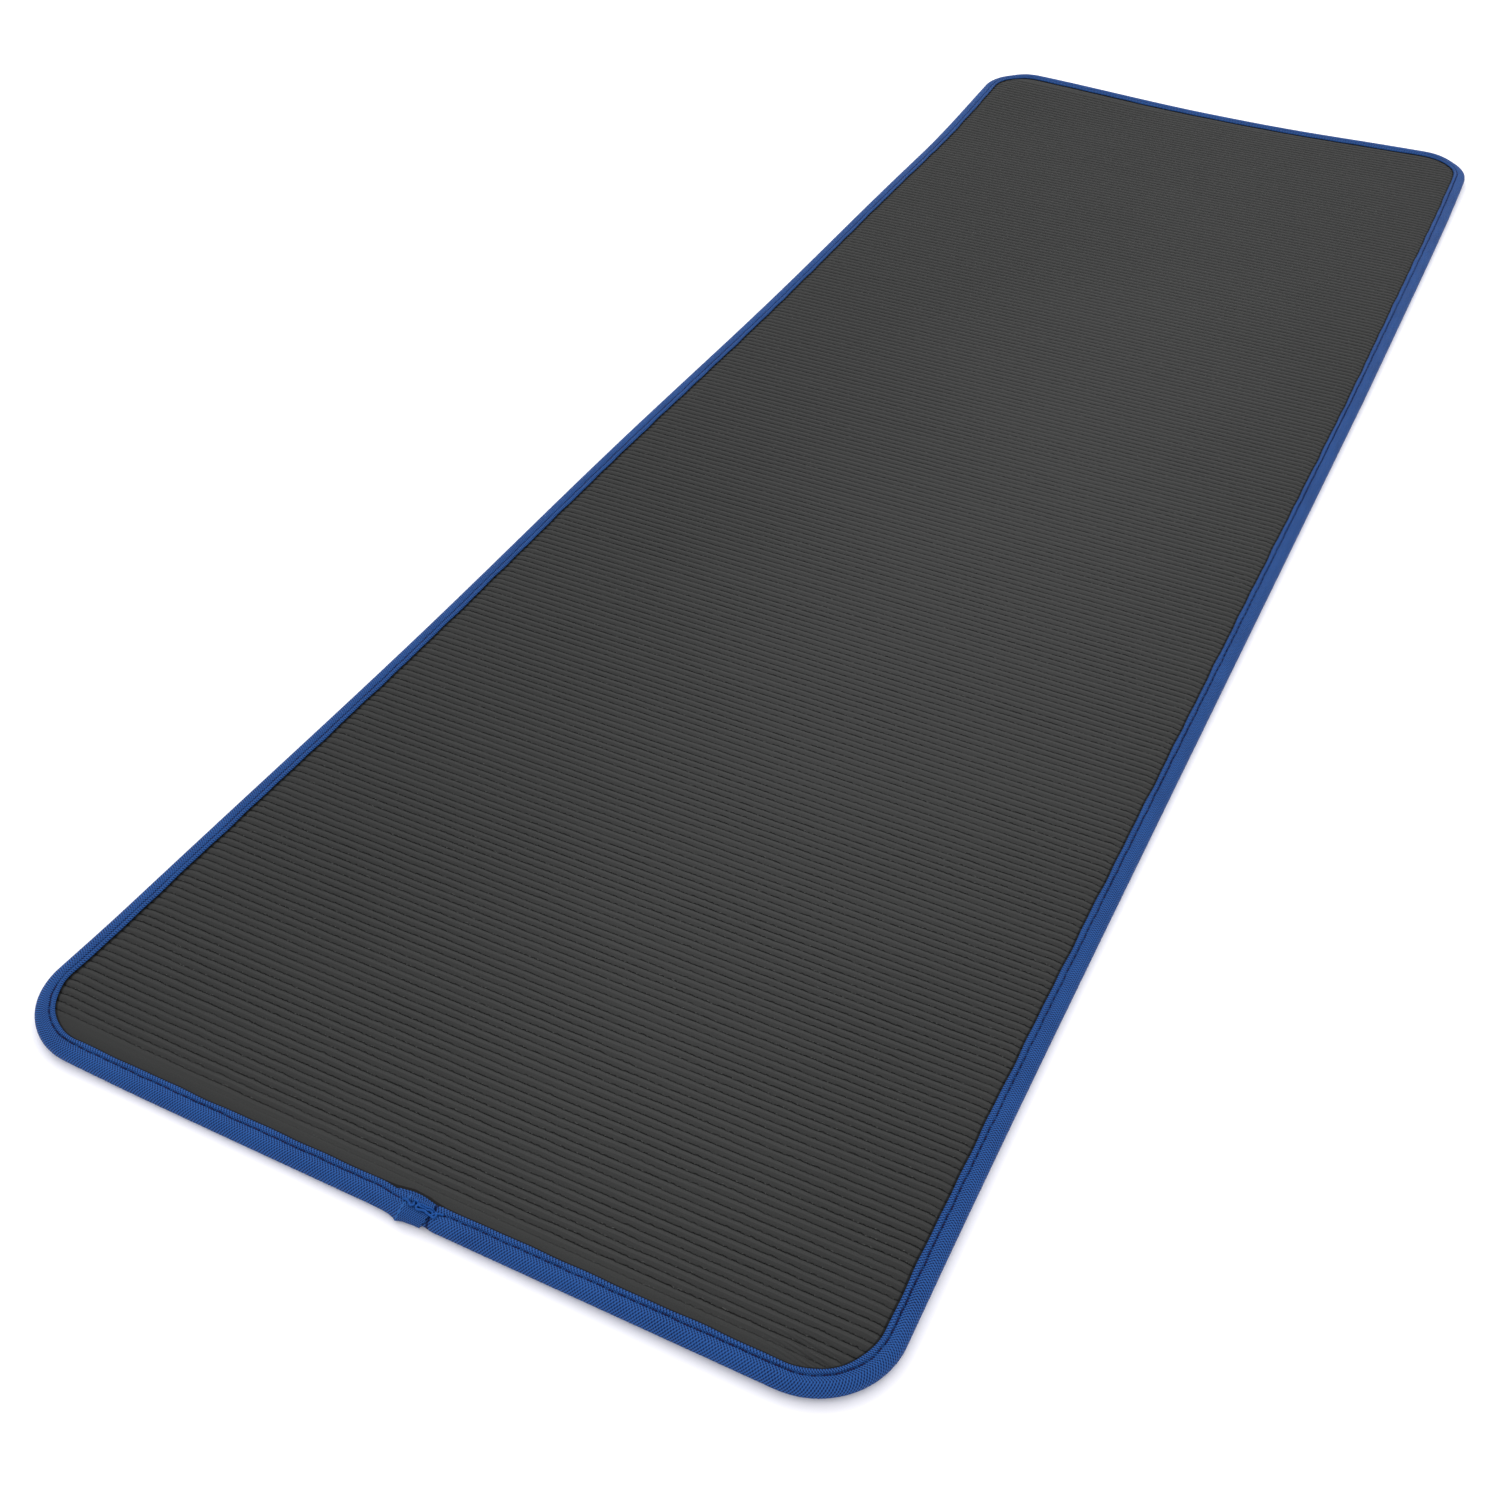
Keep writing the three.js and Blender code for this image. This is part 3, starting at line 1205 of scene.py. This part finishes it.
        sunk = np.where(along < self.rim.length / 2, self._sunk(along), 0)
        points = points + out * (nose * self._swell(along)[:, None])[..., None]
        points = points - out * sunk[:, None, None]
        points[..., 1] = np.maximum(points[..., 1], 0)
        return points

    def section(self, along: np.ndarray, samples: int) -> np.ndarray:
        """Runs a smooth curve through the guide points.

        Args:
            along: the stations.
            samples: how many points the curve gets.

        Returns:
            The tape's outer surface by station and place: how far in, and how high.
        """
        return smooth_curve(self._guides(along), samples)

    def top_height(self, along: np.ndarray, inset: np.ndarray) -> np.ndarray:
        """Finds how high the tape's upper face is.

        Args:
            along: how far along the tape each point is.
            inset: how far inside the outline each point is.

        Returns:
            The height at each point.
        """
        section = self.section(along, self.fine_places)[:, : self.fine_places // 2]
        return np.array([
            np.interp(where, ring[::-1, 0], ring[::-1, 1]) for where, ring in zip(inset, section)
        ])

    def build(self) -> bpy.types.Object:
        """Makes the tape as one closed strip of cloth.

        Returns:
            The tape, before it is laid.
        """
        along = self.stations()
        outer = self.section(along, self.outer_places)
        inner = (outer - outward(outer) * self.cloth)[:, :: -self.inner_skip]
        ring = np.concatenate([outer, inner], axis=1)
        points, inward = self.rim.places(along)
        flat = points[:, None] + ring[..., :1] * inward[:, None]
        lean = np.interp((along - self.rim.length) / MM, *np.transpose(self.lap.lean))
        flat[..., 0] -= lean[:, None] * np.clip(self.height - ring[..., 1], 0, None)
        rings = np.concatenate([flat, ring[..., 1:]], axis=-1)
        closed = np.concatenate([ring[:1], ring[:1, :1]], axis=1)[0]
        span = np.concatenate([[0], np.cumsum(np.linalg.norm(np.diff(closed, axis=0), axis=1))])
        finer = np.maximum(along - self.rim.length - self.lap.crease, 0)
        u = along + finer * 0.5
        uv = np.stack(np.broadcast_arrays(u[:, None], span[None]), axis=-1)
        mesh = loft("binding_tape", rings[:, ::-1], uv[:, ::-1])
        finish = TapeFinish(fold_at=self.rim.length + self.lap.crease, end_at=self.lap.end)
        mesh.materials.append(finish.material())
        return place_mesh("binding_tape", mesh)


@dataclass(frozen=True)
class SeamStitches:
    """One thread of the lockstitch seam, stitch by stitch, on one face of the mat."""

    name: str
    binding: EdgeBinding
    on_top: bool
    finish: ThreadFinish
    start: float = 30 * MM
    stop: float = 8 * MM
    bulk: float = 1.1 * MM
    share: float = 0.78
    sink: float = 0.25 * MM
    plumpest: float = 1.06

    def build(self) -> bpy.types.Object:
        """Makes the row of stitches.

        Returns:
            The stitches as one mesh, before they are laid.
        """
        recipe = Recipe(
            f"{self.name}_row",
            {
                "Pitch": ("Float", self.binding.rim.length / self.binding.stitches),
                "Share": ("Float", self.share),
                "Bulk": ("Float", self.bulk),
                "Seed": ("Int", 4),
                "Material": ("Material", self.finish.material()),
            },
        )
        bench = recipe.bench
        route = bench.add("GeometryNodeMeshToCurve", {}, {0: recipe.given("Geometry")})
        spaced = bench.add(
            "GeometryNodeResampleCurve",
            {"mode": "LENGTH"},
            {0: bench.out(route), "Length": recipe.given("Pitch")},
        )
        heading = bench.out(bench.add("GeometryNodeInputTangent"))
        turned = bench.add("FunctionNodeAlignRotationToVector", {"axis": "X"}, {"Vector": heading})
        loose = bench.add(
            "FunctionNodeRandomValue",
            {"data_type": "FLOAT"},
            {"Min_001": 0.93, "Max_001": self.plumpest, "Seed": recipe.given("Seed")},
        )
        thickness = recipe.given("Bulk") * bench.out(loose, 1)
        size = bench.join(recipe.given("Pitch") * recipe.given("Share"), thickness, thickness)
        row = bench.add(
            "GeometryNodeInstanceOnPoints",
            {},
            {
                "Points": bench.out(spaced),
                "Instance": self._stitch(bench),
                "Rotation": bench.out(turned),
                "Scale": size,
            },
        )
        recipe.finish(bench.out(row))
        return recipe.make(self.name, self._route())

    def _stitch(self, bench: Bench) -> Signal:
        """Makes one stitch of unit size: a bead of thread whose two ends dive into the cloth.

        Args:
            bench: the tree's bench.

        Returns:
            The stitch's geometry.
        """
        ball = bench.add("GeometryNodeMeshUVSphere", {}, {"Segments": 7, "Rings": 6, "Radius": 0.5})
        x, y, z = bench.split(bench.out(bench.add("GeometryNodeInputPosition")))
        dive = (x * x) * (2.2 if self.on_top else -2.2)
        fuller = (x * math.pi * 0.98).sine() * 0.5
        sockets = {0: bench.out(ball), "Position": bench.join(fuller, y, z - dive)}
        bent = bench.add("GeometryNodeSetPosition", {}, sockets)
        smooth = bench.add("GeometryNodeSetShadeSmooth", {}, {0: bench.out(bent)})
        return bench.out(smooth)

    def _route(self) -> bpy.types.Mesh:
        """Lays out the seam's route.

        Returns:
            A line of points and edges, one stitch after another.
        """
        rim = self.binding.rim
        pitch = rim.length / self.binding.stitches
        first = (math.ceil(self.start / pitch - 0.5) + 0.5) * pitch
        along = np.arange(first, rim.length + self.stop, pitch / 3)
        inset = self.binding.seam(along)
        points, inward = rim.places(along)
        flat = points + inset[:, None] * inward
        if self.on_top:
            height = self.binding.top_height(along, inset) + self.bulk / 2 - self.sink
        else:
            height = np.full(len(along), self.bulk / 2 * self.plumpest)
        route = np.concatenate([flat, height[:, None]], axis=1)
        mesh = bpy.data.meshes.new(self.name)
        mesh.from_pydata(route.tolist(), [(k, k + 1) for k in range(len(route) - 1)], [])
        return mesh


@dataclass(frozen=True)
class BackTack:
    """The loose rows of thread that lock the seam's two ends at the lap.

    The route lists, in millimetres, points along X and how far they are from the mat's edge.
    """

    name: str
    binding: EdgeBinding
    on_top: bool
    finish: ThreadFinish
    route: tuple[Pair, ...] = (
        (4.5, 6.4), (7.5, 6.7), (9.6, 5.4), (11.4, 4.4), (12.6, 5.6), (11.7, 7.3), (11.9, 8.9),
        (13.6, 8.5), (14.9, 7.0), (17.2, 6.5), (19.4, 6.9), (21.6, 6.4), (23.9, 7.0), (25.6, 5.9),
        (24.9, 4.4), (22.9, 4.4), (20.7, 5.1), (18.5, 4.5), (16.0, 4.1), (14.6, 5.2), (15.6, 7.9),
        (18.2, 8.3), (20.7, 8.0), (23.0, 8.4), (25.4, 8.1), (27.6, 6.9), (28.2, 5.0), (26.9, 3.8),
        (25.7, 4.6), (26.6, 6.4), (29.0, 7.7), (31.5, 8.2),
    )
    radius: float = 0.72 * MM
    samples_per_step: int = 5
    steps_per_bob: float = 2.7

    def build(self) -> bpy.types.Object:
        """Makes the rows as one thread that doubles back on itself.

        Returns:
            The thread, before it is laid.
        """
        rim = self.binding.rim
        along, inset = self._smooth()
        points, inward = rim.places(along)
        flat = points + inset[:, None] * inward
        covered = np.where(along < self.binding.lap.end, along + rim.length, along)
        steps = self.steps_per_bob * self.samples_per_step
        bob = 0.5 + 0.5 * np.sin(np.arange(len(along)) * TURN / steps)
        if self.on_top:
            height = self.binding.top_height(covered, inset) + self.radius * (0.9 + 0.9 * bob)
            height = np.convolve(np.pad(height, 2, "edge"), np.full(5, 0.2), "valid")
        else:
            height = self.radius * (1.05 + 0.45 * bob)
        path = np.concatenate([flat, height[:, None]], axis=1)
        mesh = tube(self.name, path, self.radius)
        mesh.materials.append(self.finish.material())
        return place_mesh(self.name, mesh)

    def _smooth(self) -> tuple[np.ndarray, np.ndarray]:
        """Runs a smooth curve through the route's points.

        Returns:
            How far along the tape, and how far inside the outline, each of its points is.
        """
        guides = np.array(self.route)[None] * MM
        count = (len(self.route) - 1) * self.samples_per_step + 1
        curve = smooth_curve(guides, count)[0]
        return curve[:, 0], curve[:, 1]


# The studio --------------------------------------------------------------------------------------


@dataclass(frozen=True)
class Lamp:
    """A square lamp that faces the mat."""

    name: str
    place: Spot
    size: float
    power: float

    def build(self) -> None:
        """Hangs the lamp in its place."""
        data = bpy.data.lights.new(self.name, "AREA")
        data.size = self.size
        data.energy = self.power
        lamp = bpy.data.objects.new(self.name, data)
        lamp.location = self.place
        lamp.rotation_euler = (-Vector(self.place)).to_track_quat("-Z", "Y").to_euler()
        bpy.context.scene.collection.objects.link(lamp)


@dataclass(frozen=True)
class Studio:
    """A plain pale floor, soft light, and the camera above the mat's near right side."""

    eye: Spot = (0.4573, -1.3769, 0.9066)
    aim: Spot = (0.0019, -0.4463, 0.0)
    roll: float = math.radians(0.59)
    lens: float = 43.13
    floor_size: float = 14.0
    floor_drop: float = 0.1 * MM
    floor_colour: Colour = (0.955, 0.945, 0.985, 1)
    sky: float = 1.22
    lamps: tuple[Lamp, ...] = (
        Lamp("key", (-4.0, 1.9, 5.2), 3.4, 75.0),
        Lamp("fill", (-0.5, 6.5, 4.5), 7.0, 125.0),
    )

    def build(self) -> None:
        """Sets up the floor, the lights and the camera."""
        self._floor()
        self._lights()
        self._camera()
        bpy.context.scene.view_settings.view_transform = "Standard"

    def _floor(self) -> None:
        """Lays the floor just under the mat."""
        half = self.floor_size / 2
        mesh = bpy.data.meshes.new("floor")
        signs = [corner.value for corner in Corner]
        corners = [(x * half, y * half, -self.floor_drop) for x, y in signs]
        mesh.from_pydata(corners, [], [(0, 1, 2, 3)])
        material, bench, shader = new_material("pale_floor")
        bench.feed(shader.inputs["Base Color"], self.floor_colour)
        bench.feed(shader.inputs["Roughness"], 0.9)
        bench.feed(shader.inputs["Specular IOR Level"], 0.1)
        mesh.materials.append(material)
        place_mesh("floor", mesh)

    def _lights(self) -> None:
        """Adds an even white sky and two large soft lamps."""
        world = bpy.data.worlds.new("soft_white")
        world.use_nodes = True
        world.node_tree.nodes.clear()
        bench = Bench(world.node_tree)
        sky = bench.add("ShaderNodeBackground", {}, {"Color": WHITE, "Strength": self.sky})
        bench.add("ShaderNodeOutputWorld", {}, {"Surface": sky.outputs[0]})
        bpy.context.scene.world = world
        for lamp in self.lamps:
            lamp.build()

    def _camera(self) -> None:
        """Sets the camera at its angle over the mat."""
        data = bpy.data.cameras.new("camera")
        data.lens = self.lens
        data.clip_end = 50
        camera = bpy.data.objects.new("camera", data)
        facing = (Vector(self.aim) - Vector(self.eye)).to_track_quat("-Z", "Y").to_matrix()
        turned = facing @ Matrix.Rotation(self.roll, 3, "Z")
        camera.matrix_world = Matrix.Translation(self.eye) @ turned.to_4x4()
        bpy.context.scene.collection.objects.link(camera)
        bpy.context.scene.camera = camera


# Putting it together -----------------------------------------------------------------------------


def report(piece: bpy.types.Object) -> None:
    """Logs a piece's name and size."""
    faces = sum(len(polygon.vertices) - 2 for polygon in piece.data.polygons)
    log.info("%s: %d triangles", piece.name, faces)


def finish_piece(piece: bpy.types.Object, lay: FloorLay, slot: str, *nodes: str) -> None:
    """Lays a piece, ties it to the mat's body and reports it.

    Args:
        piece: the piece, still flat.
        lay: how the mat lies.
        slot: the record's material slot meant for it; not used.
        nodes: the frame's nodes that it stands for.
    """
    lay.settle(piece)
    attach(piece, "root")
    if nodes:
        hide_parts(*nodes)
    report(piece)


def main() -> None:
    """Builds the mat and the studio."""
    logging.basicConfig(level=logging.INFO, format="%(name)s: %(message)s")
    low, high = (Vector(corner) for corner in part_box("edge_binding_tape"))
    thread_low, thread_high = (Vector(corner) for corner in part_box("needle_thread"))
    rim = Rim(half_width=high.x, half_length=high.y)
    thread_radius = (thread_high.z - thread_low.z) / 2
    seam_inset = high.x - thread_high.x + thread_radius
    reach = seam_inset + SEAM_MARGIN
    lay = FloorLay(rim)

    binding = EdgeBinding(rim, height=high.z, reach=reach, seam_inset=seam_inset)
    sheet = FoamSheet(rim, thickness=high.z - low.z, tape_reach=reach).build()
    binding.mark_edge(sheet)
    finish_piece(sheet, lay, "foam", "foam_pad")

    tape = binding.build()
    finish_piece(tape, lay, "binding", "edge_binding_tape")

    navy = ThreadFinish("navy_thread", (0.012, 0.012, 0.070, 1), (0.004, 0.004, 0.026, 1))
    blue = ThreadFinish("blue_thread", (0.014, 0.105, 0.400, 1), (0.003, 0.028, 0.140, 1))
    for name, on_top, node in (
        ("needle_stitches", True, "needle_thread"),
        ("bobbin_stitches", False, "bobbin_thread"),
    ):
        stitches = SeamStitches(name, binding, on_top, navy).build()
        finish_piece(stitches, lay, "thread", node)
    for name, on_top in (("needle_back_tack", True), ("bobbin_back_tack", False)):
        tack = BackTack(name, binding, on_top, blue).build()
        finish_piece(tack, lay, "thread")
    rim.length + binding.lap.end - binding.lap.start
    Studio().build()


if __name__ == "__main__":
    main()
